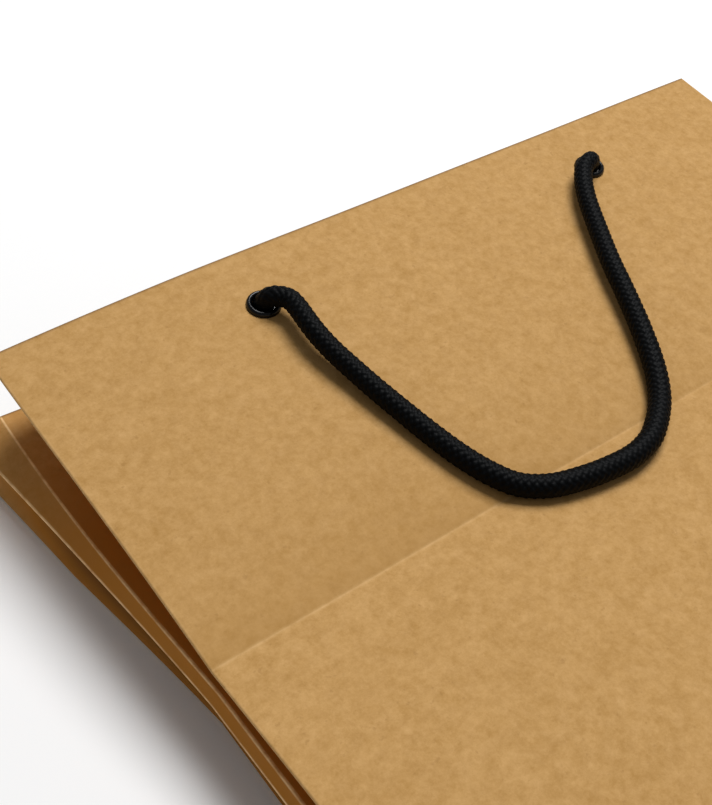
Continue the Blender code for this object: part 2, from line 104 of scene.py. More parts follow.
# Routes of the rope handles in the bag's own frame, from the left eyelet to the right one
FRONT_ROUTE = (
    (-0.0579, 0.2878, 0.0388),
    (-0.0569, 0.2862, 0.0403),
    (-0.0548, 0.2832, 0.0408),
    (-0.0545, 0.2801, 0.0406),
    (-0.0550, 0.2761, 0.0402),
    (-0.0554, 0.2717, 0.0394),
    (-0.0553, 0.2678, 0.0384),
    (-0.0548, 0.2631, 0.0372),
    (-0.0539, 0.2581, 0.0360),
    (-0.0526, 0.2505, 0.0344),
    (-0.0508, 0.2418, 0.0326),
    (-0.0488, 0.2326, 0.0308),
    (-0.0465, 0.2241, 0.0292),
    (-0.0435, 0.2168, 0.0278),
    (-0.0395, 0.2109, 0.0267),
    (-0.0333, 0.2064, 0.0267),
    (-0.0252, 0.2039, 0.0267),
    (-0.0179, 0.2026, 0.0267),
    (-0.0102, 0.2021, 0.0267),
    (-0.0040, 0.2031, 0.0267),
    (0.0014, 0.2053, 0.0267),
    (0.0101, 0.2114, 0.0268),
    (0.0166, 0.2193, 0.0285),
    (0.0229, 0.2304, 0.0309),
    (0.0287, 0.2425, 0.0333),
    (0.0339, 0.2539, 0.0354),
    (0.0415, 0.2679, 0.0377),
    (0.0453, 0.2745, 0.0389),
    (0.0488, 0.2794, 0.0397),
    (0.0521, 0.2831, 0.0404),
    (0.0545, 0.2851, 0.0407),
    (0.0580, 0.2865, 0.0409),
    (0.0599, 0.2875, 0.0400),
    (0.0610, 0.2882, 0.0385),
)
BACK_ROUTE = (
    (-0.0581, 0.2891, 0.0050),
    (-0.0579, 0.2863, 0.0035),
    (-0.0574, 0.2810, 0.0030),
    (-0.0558, 0.2640, 0.0030),
    (-0.0518, 0.2430, 0.0030),
    (-0.0438, 0.2230, 0.0030),
    (-0.0288, 0.2070, 0.0030),
    (-0.0078, 0.2000, 0.0030),
    (0.0142, 0.2005, 0.0030),
    (0.0332, 0.2080, 0.0030),
    (0.0467, 0.2235, 0.0030),
    (0.0542, 0.2430, 0.0030),
    (0.0588, 0.2640, 0.0030),
    (0.0605, 0.2810, 0.0030),
    (0.0611, 0.2863, 0.0035),
    (0.0613, 0.2891, 0.0050),
)

# The photograph's camera in the bag's frame, solved from the panel's outline, crease and eyelets
CAMERA_EYE = (-0.203616, 0.086816, 0.237661)
CAMERA_AZIMUTH = -41.722
CAMERA_ELEVATION = 43.198
CAMERA_ROLL = 5.298
FOCAL_PIXELS = 1246.6
IMAGE_HEIGHT = 805
SENSOR = 36.0
CAMERA_NEAR = 0.01

LEG = GUSSET_DEPTH / 2
HALF = BAG_WIDTH / 2
CREASE = BAG_HEIGHT - CREASE_FROM_MOUTH
HEM = BAG_HEIGHT - HEM_DEPTH
SWELL = GUSSET_DEPTH + SWELL_START
PACKED_BACK = BOTTOM_FLAP_THICKNESS + BOTTOM_FLAP_GAP + PAPER / 2
PACKED_FRONT = PACKED_BACK + FRONT_LAYERS * PACKED_LAYER
BOTTOM_FOLD_TOP = PACKED_FRONT + PAPER / 2 - BOTTOM_LIP_STEP
EYELET_HEIGHT = BAG_HEIGHT - EYELET_FROM_MOUTH
CARD_FACE = PAPER / 2 + HEM_THICKNESS + SEAT_GAP + CARD_THICKNESS
KNOT_START = CARD_FACE + SEAT_GAP + EYELET_CLINCH + SEAT_GAP


def bag_shift():
    """From the bag's own frame, whose origin is the middle of the bottom fold, to the part's frame."""
    left = (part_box("front_eyelet_left")[0][0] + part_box("front_eyelet_left")[1][0]) / 2
    right = (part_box("front_eyelet_right")[0][0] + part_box("front_eyelet_right")[1][0]) / 2
    return np.array([(left + right) / 2 - HANDLE_SHIFT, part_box("paper_bag")[1][1] - BAG_HEIGHT, 0.0])


SHIFT = bag_shift()


# Mesh helpers


def grid_faces(rows, columns, closed, first=0):
    """Quads of a rows by columns grid of points that start at first, closed round the columns if asked."""
    r = np.arange(rows - 1)[:, None]
    c = np.arange(columns if closed else columns - 1)[None, :]
    n = (c + 1) % columns
    corners = (r * columns + c, r * columns + n, (r + 1) * columns + n, (r + 1) * columns + c)
    return np.stack(corners, axis=-1).reshape(-1, 4) + first


def make_mesh(name, points, quads, rings=(), uv=None, weights=None):
    """Object from points, quads and closing rings, with a UV map and point attributes."""
    faces = quads.tolist() + [list(ring) for ring in rings]
    mesh = bpy.data.meshes.new(name)
    mesh.from_pydata(points.tolist(), [], faces)
    for attribute, values in (weights or {}).items():
        layer = mesh.attributes.new(attribute, "FLOAT", "POINT")
        layer.data.foreach_set("value", np.asarray(values, np.float32).ravel())
    if uv is not None:
        layer = mesh.uv_layers.new(name="UVMap")
        corners = np.empty(len(mesh.loops), np.int32)
        mesh.loops.foreach_get("vertex_index", corners)
        layer.data.foreach_set("uv", np.asarray(uv, np.float32)[corners].ravel())
    mesh.shade_smooth()
    obj = bpy.data.objects.new(name, mesh)
    bpy.context.scene.collection.objects.link(obj)
    return obj


def ease(t):
    """Smooth step from 0 to 1."""
    t = np.clip(t, 0, 1)
    return t * t * (3 - 2 * t)


# Shape of the paper: h runs from the bottom fold (0) to the mouth (BAG_HEIGHT)


def front_z(h):
    """Front panel's height: a swell up to the crease, then a rise that eases into the hem."""
    swell = 1 - (1 - np.clip(h / CREASE, 0, 1)) ** SWELL_POWER
    run = HEM - CREASE
    t = np.clip((h - CREASE) / run, 0, 1)
    rise = run * (CREASE_SLOPE * t + (HEM_SLOPE - CREASE_SLOPE) * t * t / 2)
    hem = np.clip(h - HEM, 0, None) * HEM_SLOPE
    return PACKED_FRONT + (CREASE_HEIGHT - PACKED_FRONT) * swell + rise + hem


def front_y(h):
    """Distance along Y of a point that lies h along the sloping front panel."""
    steps = np.linspace(0, BAG_HEIGHT, 1501)
    run = np.sqrt(np.diff(steps) ** 2 - np.diff(front_z(steps)) ** 2)
    return np.interp(h, steps, np.concatenate([[0], np.cumsum(run)]))


def along(h, *pairs):
    """Piecewise straight values at h between (place, value) pairs."""
    return np.interp(h, [p[0] for p in pairs], [p[1] for p in pairs])


def back_arch(h):
    """How far the middle of the back panel stands above its floor edges."""
    handle = BAG_HEIGHT - ARCH_HANDLE_FROM_MOUTH
    return along(h, (GUSSET_DEPTH, 0.0), (SWELL, ARCH_START), (handle, ARCH_HANDLE), (BAG_HEIGHT, ARCH_MOUTH))


def floor_edge_z(h):
    """Centre height of the folds that touch the surface."""
    return along(h, (GUSSET_DEPTH, PACKED_BACK + FOLD_RADIUS), (SWELL, FOLD_RADIUS + PAPER / 2))


def back_z(h):
    """Height of the flat middle of the back panel."""
    return floor_edge_z(h) - FOLD_RADIUS + back_arch(h)


def fold_centres(h):
    """Fold centres (x, z) round every section, clockwise from the front left fold, with turn and depth.

    turn is +1 where the paper goes clockwise round the fold and -1 where it goes back. depth is 0 on
    the front panel and 1 on the back panel.
    """
    r = FOLD_RADIUS
    floor = floor_edge_z(h)
    front = front_z(h) - r
    left_x = np.full_like(h, -HALF + r)
    right_x = np.full_like(h, HALF - r)
    back_fold = along(
        h,
        (GUSSET_DEPTH, PACKED_BACK + BACK_FOLD_LAYERS * PACKED_LAYER),
        (SWELL, BACK_FOLD_HEIGHT_START),
        (CREASE, BACK_FOLD_HEIGHT_CREASE),
        (BAG_HEIGHT, BACK_FOLD_HEIGHT_MOUTH),
    )
    rise = along(
        h,
        (GUSSET_DEPTH, TUCK_RISE_LAYERS * PACKED_LAYER),
        (CREASE, TUCK_RISE_CREASE),
        (BAG_HEIGHT, TUCK_RISE_MOUTH),
    )
    opened = along(h, (CREASE, 0.0), (BAG_HEIGHT, 1.0)) ** SIDE_CREASE_POWER
    inset = SIDE_CREASE_INSET_CREASE + (SIDE_CREASE_INSET_MOUTH - SIDE_CREASE_INSET_CREASE) * opened
    tuck_z = back_fold + rise
    tuck_x = left_x + np.sqrt(LEG**2 - (front - tuck_z) ** 2)
    sloping = np.hypot(inset, SIDE_CREASE_SHARE * rise)
    lower_leg = inset + np.sqrt((LEG - sloping) ** 2 - ((1 - SIDE_CREASE_SHARE) * rise) ** 2)
    back_x = tuck_x - lower_leg
    floor_inset = along(
        h,
        (GUSSET_DEPTH, FLOOR_EDGE_INSET_START),
        (CREASE, FLOOR_EDGE_INSET_CREASE),
        (HEM, FLOOR_EDGE_INSET_HEM),
    )
    shift = along(h, (CREASE, 0.0), (BAG_HEIGHT, RIGHT_FOLD_SHIFT))
    apart_x, apart_z = shift, front - floor
    length = np.hypot(apart_x, apart_z)
    reach = np.sqrt(LEG**2 - length**2 / 4)
    tuck_right_x = right_x - shift / 2 - reach * apart_z / length
    tuck_right_z = (front + floor) / 2 + reach * apart_x / length
    return (
        (left_x, front, 1, 0.0),
        (right_x, front, 1, 0.0),
        (tuck_right_x, tuck_right_z, -1, 0.5),
        (right_x - shift, floor, 1, 1.0),
        (back_x + floor_inset, floor, 1, 1.0),
        (back_x, back_fold, 1, 1.0),
        (back_x + inset, back_fold + SIDE_CREASE_SHARE * rise, 1, 1.0),
        (tuck_x, tuck_z, -1, 0.5),
    )


# Pieces of each straight run between folds and points round each fold, in the order of fold_centres
RUN_PIECES = (72, 14, 14, 48, 8, 5, 14, 14)
FOLD_POINTS = (7, 7, 7, 7, 5, 5, 4, 7)
BACK_RUN = 3
STRIP_RUN = 4
# Distances of the close points next to each fold's arc: at most one, two and three steps of the run
NEAR_FOLD = (0.0003, 0.0008, 0.0016)
NEAR_STEP = 0.1
# Painted shade of each run in the side folds, a darker and more saturated brown, from 0 (open panel) to 1
# (strip on the floor)
RUN_SHADE = (0.0, 0.5, 0.5, 0.0, 1.0, 0.5, 0.5, 0.5)
# The strip's painted shade starts paler at its lower edge and reaches full at this rate across its width
STRIP_SHADE_START = 0.55
STRIP_SHADE_RISE = 0.45
STRIP_SHADE_RATE = 1.6
# The strip's recess follows t * t * (1 - t), scaled so that its deepest point is STRIP_RECESS
STRIP_RECESS = 0.0030
STRIP_PEAK = 6.75
# How pale each fold is painted, as wear and as a painted highlight where the fold's edge catches the light,
# and how far from the fold the paling reaches
FOLD_WEAR_AND_HIGHLIGHT = (0.12, 0.2, 0.3, 0.3, 0.3, 1.0, 1.0, 0.3)
FOLD_WEAR_AND_HIGHLIGHT_WIDTH = 0.00012
MITRE_LEAST = 0.5

# Rows of points along the bag
EVEN_ROWS = 94
CREASE_ROWS = (-0.003, -0.0015, -0.0007, -0.0003, 0, 0.0003, 0.0007, 0.0015, 0.003)
HEM_ROWS = (-0.0004, 0.0, HEM_THICKNESS, 0.001)
MOUTH_ROWS = (0.0004, 0.0009)
ROW_GAP = 1e-5

# Skins and rim of the paper
INNER_FOLD_SHARE = 0.9
HEM_EASE = 0.5
RIM_POINTS = 6
RIM_ROUND = 0.6

# Marks on the paper, partly painted light: the crease's pale line (wear and a painted highlight) and the
# painted shade in a band above it are weaker towards the right side of the front
MARK_DEPTH = 0.2
CREASE_LINE_WIDTH = 0.0004
CREASE_LINE_MIDDLE = 0.6
CREASE_LINE_FALL = 0.5
CREASE_LINE_LEAST = 0.15
CREASE_BAND = 0.012
CREASE_BAND_MIDDLE = 0.5
# Painted light near the mouth that lifts the side folds' painted shade, and the width of the painted shade on
# the mouth's edge
MOUTH_LIGHT = 0.055
MOUTH_LIGHT_SHARE = 0.7
MOUTH_EDGE_WIDTH = 0.0004

# How the open end has relaxed
CORNER_DROOP = 0.0019
CORNER_REACH = 0.067
MOUTH_SKEW = 0.0011
PANEL_WAVE = 0.00025
CREASE_GROOVE = 0.00022
CREASE_GROOVE_WIDTH = 0.0010
CREASE_GROOVE_FALL = 0.6
HANDLE_CALM = 0.03


def paper_loop(h):
    """Middle line of the paper round every section as (rows, columns) arrays.

    The arrays are x, z, depth, fold wear with painted highlights, painted shade and the distance from
    the nearest outward fold. Each fold is an arc round its centre, and each run is the straight line
    tangent to two arcs, so the loop is a belt round eight pulleys. The back run rises in an arch between
    its two ends, and the strip between the floor and the lower side fold is pushed in.
    """
    folds = fold_centres(h)
    count = len(folds)
    leaving = []
    for i, (x, z, turn, _) in enumerate(folds):
        nx, nz, next_turn, _ = folds[(i + 1) % count]
        slant = (next_turn - turn) * FOLD_RADIUS / np.hypot(nx - x, nz - z)
        leaving.append(np.arctan2(nz - z, nx - x) + np.arcsin(slant))
    xs, zs, depths, wears_and_highlights, shades, clear = [], [], [], [], [], []
    for i, (x, z, turn, depth) in enumerate(folds):
        nx, nz, next_turn, next_depth = folds[(i + 1) % count]
        bend = (leaving[i] - leaving[i - 1]) % (2 * math.pi)
        bend = bend - 2 * math.pi if turn > 0 else bend
        t = np.linspace(0, 1, FOLD_POINTS[i])[None, :]
        angle = leaving[i - 1][:, None] + bend[:, None] * t
        xs.append(x[:, None] - turn * FOLD_RADIUS * np.sin(angle))
        zs.append(z[:, None] + turn * FOLD_RADIUS * np.cos(angle))
        depths.append(np.full_like(angle, depth))
        wears_and_highlights.append(np.full_like(angle, FOLD_WEAR_AND_HIGHLIGHT[i]))
        shades.append(np.full_like(angle, min(RUN_SHADE[i - 1], RUN_SHADE[i])))
        clear.append(np.full_like(angle, 0.0 if turn > 0 else LEG))

        sine, cosine = np.sin(leaving[i]), np.cos(leaving[i])
        sx, sz = x - turn * FOLD_RADIUS * sine, z + turn * FOLD_RADIUS * cosine
        ex, ez = nx - next_turn * FOLD_RADIUS * sine, nz + next_turn * FOLD_RADIUS * cosine
        length = np.hypot(ex - sx, ez - sz)[:, None]
        steps = NEAR_STEP * np.arange(1, len(NEAR_FOLD) + 1)
        near = np.minimum(np.array(NEAR_FOLD)[None, :] / length, steps[None, :])
        even = np.linspace(0, 1, RUN_PIECES[i] + 1)[1:-1][None, :]
        inner = near[:, -1:] + even * (1 - 2 * near[:, -1:])
        t = np.concatenate([near, inner, 1 - near[:, ::-1]], axis=1)
        px = sx[:, None] + t * (ex - sx)[:, None]
        pz = sz[:, None] + t * (ez - sz)[:, None]
        if i == BACK_RUN:
            pz = pz + back_arch(h)[:, None] * ease(np.minimum(t, 1 - t) / ARCH_SHOULDER)
        # Painted shade of the run; across the strip it deepens towards the lower side fold
        shade = np.full_like(px, RUN_SHADE[i])
        if i == STRIP_RUN:
            opened = ease((h - GUSSET_DEPTH) / (SWELL - GUSSET_DEPTH))[:, None]
            px = px + STRIP_RECESS * opened * STRIP_PEAK * t**2 * (1 - t)
            shade = STRIP_SHADE_START + STRIP_SHADE_RISE * ease(STRIP_SHADE_RATE * t)
        worn_and_lit = np.where(t < 0.5, FOLD_WEAR_AND_HIGHLIGHT[i], FOLD_WEAR_AND_HIGHLIGHT[(i + 1) % count])
        from_fold = np.minimum(t, 1 - t) * length
        xs.append(px)
        zs.append(pz)
        depths.append(depth + t * (next_depth - depth))
        wears_and_highlights.append(worn_and_lit * np.exp(-((from_fold / FOLD_WEAR_AND_HIGHLIGHT_WIDTH) ** 2)))
        shades.append(shade)
        before = t * length if turn > 0 else np.full_like(px, LEG)
        after = (1 - t) * length if next_turn > 0 else np.full_like(px, LEG)
        clear.append(np.minimum(before, after))
    return [np.concatenate(part, axis=1) for part in (xs, zs, depths, wears_and_highlights, shades, clear)]


def offset_loop(x, z, distance):
    """Clockwise loops moved outwards, square to their own line.

    distance is one number or an array with a value for each point. At a corner the move is longer by
    the mitre, up to the limit that MITRE_LEAST sets.
    """
    dx, dz = np.roll(x, -1, axis=1) - x, np.roll(z, -1, axis=1) - z
    size = np.hypot(dx, dz)
    dx, dz = dx / size, dz / size
    mx, mz = dx + np.roll(dx, 1, axis=1), dz + np.roll(dz, 1, axis=1)
    size = np.hypot(mx, mz)
    mx, mz = mx / size, mz / size
    mitre = np.clip(mx * dx + mz * dz, MITRE_LEAST, 1)
    move = distance / mitre
    return x - mz * move, z + mx * move


def bag_rows():
    """Places along the bag: even steps, with close ones at the crease, the hem's edge and the mouth."""
    even = np.linspace(0, BAG_HEIGHT, EVEN_ROWS)
    crease = CREASE + np.array(CREASE_ROWS)
    hem = HEM + np.array(HEM_ROWS)
    mouth = BAG_HEIGHT - np.array(MOUTH_ROWS)
    fixed = np.array([BOTTOM_END_WALL, GUSSET_DEPTH, SWELL])
    rows = np.unique(np.concatenate([even, crease, hem, fixed, mouth]))
    return rows[np.concatenate([[True], np.diff(rows) > ROW_GAP])]


def low_waves(x, h):
    """Waves about 0.19 m and 0.25 m long multiplied together, and one of 0.08 m at half their height."""
    return np.sin(31 * x + 11 * h + 0.6) * np.cos(23 * h - 9 * x) + 0.5 * np.sin(67 * x - 41 * h)


def relaxed(points, depth, h):
    """Small moves of each point: low waves, a groove at the crease, a drooping corner and a skewed edge.

    The waves fade to nothing at the folds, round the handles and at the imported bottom. The droop at the
    left of the mouth runs on from the front panel into the gusset. The left end of the back's mouth edge
    is moved further out along Y.
    """
    x = points[..., 0]
    h = h[:, None] + np.zeros_like(x)
    open_part = ease((h - GUSSET_DEPTH) / (SWELL - GUSSET_DEPTH))
    inner = np.clip(1 - (x / HALF) ** 2, 0, 1)
    front = np.clip(1 - 4 * depth, 0, 1)
    above_crease = ease((h - CREASE) / (BAG_HEIGHT - CREASE))
    fall = 1 - CREASE_GROOVE_FALL * np.clip(x / HALF, 0, 1)
    groove = np.exp(-np.abs(h - CREASE) / CREASE_GROOVE_WIDTH) * fall
    corner = np.clip((-x - HALF + CORNER_REACH) / CORNER_REACH, 0, 1) ** 2
    droop = corner * above_crease * np.clip(1 - 2 * depth, 0, 1)
    handles = np.clip(np.abs(h - EYELET_HEIGHT) / HANDLE_CALM, 0, 1)
    panels = inner * np.clip(1 - 2 * depth, 0, 1)
    lift = open_part * handles * PANEL_WAVE * low_waves(x, h) * panels
    lift -= front * inner * CREASE_GROOVE * groove + CORNER_DROOP * droop
    skew = MOUTH_SKEW * np.clip(-x / HALF, 0, 1) * np.clip(2 * depth, 0, 1) * above_crease
    return points + np.stack([np.zeros_like(x), skew, lift], axis=-1)


def paper_bag():
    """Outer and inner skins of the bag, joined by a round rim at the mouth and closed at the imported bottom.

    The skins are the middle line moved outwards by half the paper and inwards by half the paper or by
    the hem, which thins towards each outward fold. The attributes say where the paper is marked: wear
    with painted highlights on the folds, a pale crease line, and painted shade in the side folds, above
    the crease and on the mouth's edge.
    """
    h = bag_rows()
    x, z, depth, wear_and_highlight, shade, clear = paper_loop(h)
    y = front_y(h)[:, None] + (h - front_y(h))[:, None] * depth
    hem = np.where(h > HEM, PAPER / 2 + HEM_THICKNESS, PAPER / 2)[:, None]
    inside = np.minimum(hem, INNER_FOLD_SHARE * FOLD_RADIUS + HEM_EASE * clear)
    outer_x, outer_z = offset_loop(x, z, PAPER / 2)
    inner_x, inner_z = offset_loop(x, z, -inside)
    rim_half = (PAPER / 2 + inside[-1:]) / 2
    rim = []
    for angle in np.linspace(0, math.pi, RIM_POINTS)[1:-1]:
        rx, rz = offset_loop(x[-1:], z[-1:], PAPER / 2 - rim_half + rim_half * math.cos(angle))
        rim.append(np.stack([rx, y[-1:] + rim_half * RIM_ROUND * math.sin(angle), rz], axis=-1))
    start = int(np.searchsorted(h, BOTTOM_END_WALL))
    outer = np.stack([outer_x, y, outer_z], axis=-1)
    inner = np.stack([inner_x, y, inner_z], axis=-1)[start:][::-1]
    sheet = np.concatenate([outer] + rim + [inner])
    along_bag = np.concatenate([h, np.full(len(rim), BAG_HEIGHT), h[start:][::-1]])
    deep = np.concatenate([depth, np.repeat(depth[-1:], len(rim), axis=0), depth[start:][::-1]])
    sheet = relaxed(sheet, deep, along_bag)
    rows, columns = sheet.shape[:2]
    front = np.exp(-((depth / MARK_DEPTH) ** 2))
    fading = np.clip(CREASE_LINE_MIDDLE - CREASE_LINE_FALL * x / HALF, CREASE_LINE_LEAST, 1)
    crease = np.exp(-(((h - CREASE) / CREASE_LINE_WIDTH) ** 2))[:, None] * front * fading
    # Painted shade in a band above the crease, fading towards the mouth and towards the right
    above = np.where(h > CREASE, np.exp(-(h - CREASE) / CREASE_BAND), 0.0)[:, None]
    band = above * front * np.clip(CREASE_BAND_MIDDLE - x / HALF, 0, 1)
    # Painted light near the mouth lifts the painted shade of the side folds
    lit = MOUTH_LIGHT_SHARE * ease((h - BAG_HEIGHT + MOUTH_LIGHT) / MOUTH_LIGHT)
    shade = shade * (1 - lit)[:, None]
    # Painted shade along the mouth's edge, and over the whole rim
    edge = np.exp(-(((BAG_HEIGHT - h) / MOUTH_EDGE_WIDTH) ** 2))[:, None] + np.zeros_like(depth)
    bare = np.zeros((len(rim), columns))
    inner_side = np.zeros_like(depth[start:])
    points = sheet.reshape(-1, 3) + SHIFT
    quads = grid_faces(rows, columns, closed=True)
    last = (rows - 1) * columns
    rings = (range(columns - 1, -1, -1), range(last, last + columns))
    weights = {
        "fold_wear_and_highlight": np.concatenate([wear_and_highlight, bare, inner_side]),
        "crease_line": np.concatenate([crease, bare, inner_side]),
        "crease_painted_shade": np.concatenate([band, bare, inner_side]),
        "fold_shade": np.concatenate([shade, bare, inner_side]),
        "mouth_edge_shade": np.concatenate([edge, bare + 1, inner_side]),
    }
    return make_mesh("kraft_bag", points, quads, rings, weights=weights)


FLAP_TURN_POINTS = 17
FLAP_SHARP_ANGLE = 40


def bottom_flap():
    """The bag's bottom folded flat under the back panel: a slab with the round fold that carries it.

    One profile in Y and Z, a half ring of the paper's thickness that runs into the slab, is carried
    across the bag in X.
    """
    outer = BOTTOM_FOLD_TOP / 2
    inner = outer - PAPER
    turn = np.linspace(math.pi / 2, 3 * math.pi / 2, FLAP_TURN_POINTS)
    lip = BOTTOM_END_WALL / 2
    fold = np.stack([outer * np.cos(turn), outer + outer * np.sin(turn)], axis=1)
    under = np.stack([inner * np.cos(turn[::-1]), outer + inner * np.sin(turn[::-1])], axis=1)
    slab = [[GUSSET_DEPTH, 0.0], [GUSSET_DEPTH, BOTTOM_FLAP_THICKNESS], [0.0, BOTTOM_FLAP_THICKNESS]]
    start = [[lip, BOTTOM_FOLD_TOP - PAPER], [lip, BOTTOM_FOLD_TOP]]
    profile = np.concatenate([start, fold, slab, under])
    reach = HALF - BOTTOM_FLAP_INSET
    x = np.array([-reach, reach])
    points = np.stack(
        [np.repeat(x, len(profile)), np.tile(profile[:, 0], 2), np.tile(profile[:, 1], 2)],
        axis=1,
    )
    count = len(profile)
    quads = grid_faces(2, count, closed=True)
    rings = (range(count - 1, -1, -1), range(count, 2 * count))
    flap = make_mesh("folded_bottom", points + SHIFT, quads, rings)
    flap.data.set_sharp_from_angle(angle=math.radians(FLAP_SHARP_ANGLE))
    return flap


# Eyelets and their holes


def hem_frame(side, back):
    """Matrix of an eyelet's place: origin on the paper's middle, Z out of the bag, X across it.

    side is -1 for the left eyelet and 1 for the right one, and back picks the back panel.
    """
    h = np.array(EYELET_HEIGHT)
    x = HANDLE_SHIFT + side * EYELET_SPACING / 2
    if back:
        slope = float(back_z(BAG_HEIGHT) - back_z(HEM)) / HEM_DEPTH
        origin = Vector((x, EYELET_HEIGHT, float(back_z(h))))
        normal = Vector((0, slope, -1)).normalized()
    else:
        origin = Vector((x, float(front_y(h)), float(front_z(h))))
        normal = Vector((0, -HEM_SLOPE, math.sqrt(1 - HEM_SLOPE**2)))
    across = Vector((1, 0, 0))
    matrix = Matrix((across, normal.cross(across), normal)).transposed().to_4x4()
    matrix.translation = origin + Vector(SHIFT)
    return matrix


HOLE_GAP = 0.0003
HOLE_REACH = 0.0012
HOLE_SIDES = 48


def punch_holes(bag):
    """Cuts a round hole for each eyelet's barrel, with four short cylinders in one mesh."""
    angle = np.linspace(0, 2 * math.pi, HOLE_SIDES, endpoint=False)
    radius = EYELET_BARREL_RADIUS + HOLE_GAP
    circle = np.stack([radius * np.cos(angle), radius * np.sin(angle), 0 * angle], axis=-1)
    reach = np.array([0.0, 0.0, HOLE_REACH])
    cylinder = np.concatenate([circle - reach, circle + reach])
    points, quads, rings = [], [], []
    for back in (False, True):
        for side in (-1, 1):
            place = np.array(hem_frame(side, back))
            first = len(points) * len(cylinder)
            points.append(cylinder @ place[:3, :3].T + place[:3, 3])
            quads.append(grid_faces(2, HOLE_SIDES, closed=True, first=first))
            rings.append(range(first + HOLE_SIDES - 1, first - 1, -1))
            rings.append(range(first + HOLE_SIDES, first + 2 * HOLE_SIDES))
    cutter = make_mesh("hole_cutter", np.concatenate(points), np.concatenate(quads), rings)
    cut = bag.modifiers.new("holes", "BOOLEAN")
    cut.operation = "DIFFERENCE"
    cut.solver = "EXACT"
    cut.object = cutter
    graph = bpy.context.evaluated_depsgraph_get()
    mesh = bpy.data.meshes.new_from_object(bag.evaluated_get(graph))
    bag.modifiers.remove(cut)
    bag.data = mesh
    bpy.data.objects.remove(cutter)


EYELET_SIDES = 72
DOME_START = -0.15 * math.pi
DOME_POINTS = 20
DOME_ROUND = 0.8
CURL_POINTS = 8


def turned(name, profile, matrix):
    """A closed profile of (radius, z) points carried round Z, then placed by matrix."""
    angle = np.linspace(0, 2 * math.pi, EYELET_SIDES, endpoint=False)[:, None]
    radius, z = profile[:, 0][None, :], profile[:, 1][None, :]
    points = np.stack([radius * np.cos(angle), radius * np.sin(angle), z + 0 * angle], axis=-1)
    place = np.array(matrix)
    points = points.reshape(-1, 3) @ place[:3, :3].T + place[:3, 3]
    columns = profile.shape[0]
    r = np.arange(EYELET_SIDES)[:, None]
    n = (r + 1) % EYELET_SIDES
    c = np.arange(columns)[None, :]
    d = (c + 1) % columns
    quads = np.stack([r * columns + c, n * columns + c, n * columns + d, r * columns + d], axis=-1)
    return make_mesh(name, points, quads.reshape(-1, 4))


def eyelet(name, side, back):
    """Domed ring on the panel, a smooth barrel through it and a clinched lip behind the card.

    The dome's height follows a sine to the power DOME_ROUND, and the lip is a half ellipse.
    """
    seat = PAPER / 2
    middle = (EYELET_OUTER_RADIUS + EYELET_HOLE_RADIUS) / 2
    reach = (EYELET_OUTER_RADIUS - EYELET_HOLE_RADIUS) / 2
    top = SEAT_GAP + EYELET_FLANGE
    turn = np.linspace(DOME_START, math.pi, DOME_POINTS)
    dome_height = top * np.maximum(np.sin(turn), 0) ** DOME_ROUND
    dome = np.stack([middle + reach * np.cos(turn), seat + dome_height], axis=1)
    clinch = -(CARD_FACE + SEAT_GAP)
    lip = EYELET_OUTER_RADIUS - EYELET_CLINCH / 2
    curl = np.linspace(0, math.pi, CURL_POINTS)
    roll_middle = (lip + EYELET_HOLE_RADIUS) / 2
    roll_reach = (lip - EYELET_HOLE_RADIUS) / 2
    roll = np.stack([roll_middle - roll_reach * np.cos(curl), clinch - EYELET_CLINCH * np.sin(curl)], axis=1)
    barrel = np.array([[EYELET_BARREL_RADIUS, clinch], [EYELET_BARREL_RADIUS, seat]])
    profile = np.concatenate([dome, roll, barrel])
    return turned(name, profile, hem_frame(side, back))


# Braided rope

ROUTE_STEPS = 24
ROUTE_SMOOTHING = 0.0015
ROUTE_END = 0.003


def smooth_route(route):
    """Dense points on a Catmull-Rom curve through the route's points."""
    points = np.array(route)
    ends = np.vstack([2 * points[0] - points[1], points, 2 * points[-1] - points[-2]])
    t = np.linspace(0, 1, ROUTE_STEPS, endpoint=False)[None, :, None]
    a, b, c, d = (ends[i : len(ends) - 3 + i, None, :] for i in range(4))
    curve = 0.5 * (2 * b + (c - a) * t + (2 * a - 5 * b + 4 * c - d) * t**2 + (3 * b - a - 3 * c + d) * t**3)
    return np.vstack([curve.reshape(-1, 3), points[-1:]])


def rope_path(route, back, step):
    """Even points along the rope's centre line, from knot to knot, and their distances along it.

    The dense route is cut to even steps and averaged over a few of them, but for its two ends.
    """
    ends = []
    for side in (-1, 1):
        place = hem_frame(side, back)
        depths = (-(KNOT_START - SEAT_GAP), 0.0, ROPE_STRAIGHT)
        ends.append([np.array(place @ Vector((0, 0, z))) for z in depths])
    middle = [np.array(p) + SHIFT for p in route]
    curve = smooth_route(ends[0] + middle + ends[1][::-1])
    lengths = np.concatenate([[0], np.cumsum(np.linalg.norm(np.diff(curve, axis=0), axis=1))])
    places = np.linspace(0, lengths[-1], int(lengths[-1] / step) + 1)
    path = np.stack([np.interp(places, lengths, curve[:, k]) for k in range(3)], axis=1)
    kernel = np.hanning(2 * int(ROUTE_SMOOTHING / step) + 3)
    kernel /= kernel.sum()
    pad = len(kernel) // 2
    padded = np.concatenate([np.repeat(path[:1], pad, axis=0), path, np.repeat(path[-1:], pad, axis=0)])
    smoothed = np.stack([np.convolve(padded[:, k], kernel, "valid") for k in range(3)], axis=1)
    fade = ease(np.minimum(places, lengths[-1] - places) / ROUTE_END)[:, None]
    return path * (1 - fade) + smoothed * fade, places


